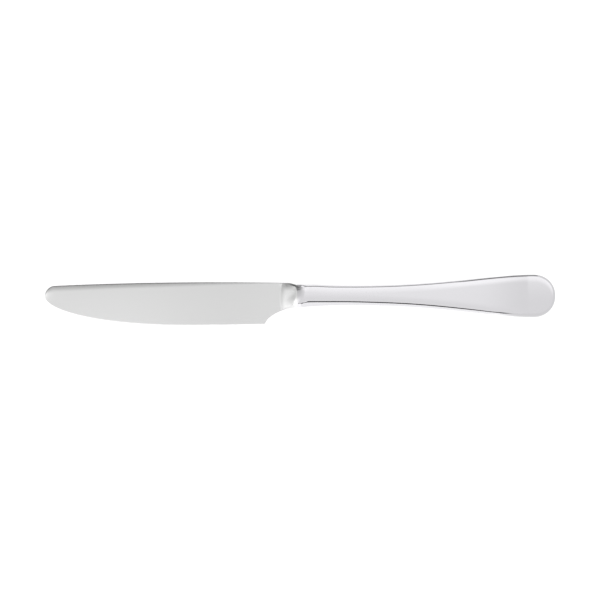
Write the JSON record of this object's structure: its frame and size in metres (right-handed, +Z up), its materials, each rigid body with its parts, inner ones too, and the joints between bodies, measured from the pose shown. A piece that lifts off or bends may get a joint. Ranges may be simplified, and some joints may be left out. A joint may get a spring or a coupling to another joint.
{
  "type": "dessert knife",
  "caption": "Table knife with a round-tipped steel blade, a scooped bolster and a hollow steel handle that widens to a rounded end, for cutting and spreading food.",
  "frame": {"origin": "middle of the base of the whole knife, on the surface that it lies on", "axes": "+X from the tip of the blade to the end of the handle, +Y from the cutting edge to the spine, +Z up, across the thickness of the knife as it lies on its side"},
  "size_m": [0.21, 0.0212, 0.008],
  "materials": {
    "blade_steel": "satin-ground stainless knife steel",
    "handle_steel": "mirror-polished stainless steel",
    "weld_steel": "stainless weld, ground flush and polished",
    "braze": "silver braze, ground flush and polished",
    "cement": "set grey handle cement"
  },
  "bodies": {
    "root": {"blade": "blade_steel", "handle_upper_shell": "handle_steel", "handle_lower_shell": "handle_steel", "seam_weld": "weld_steel", "mouth_braze": "braze", "handle_cement": "cement"}
  },
  "joints": []
}
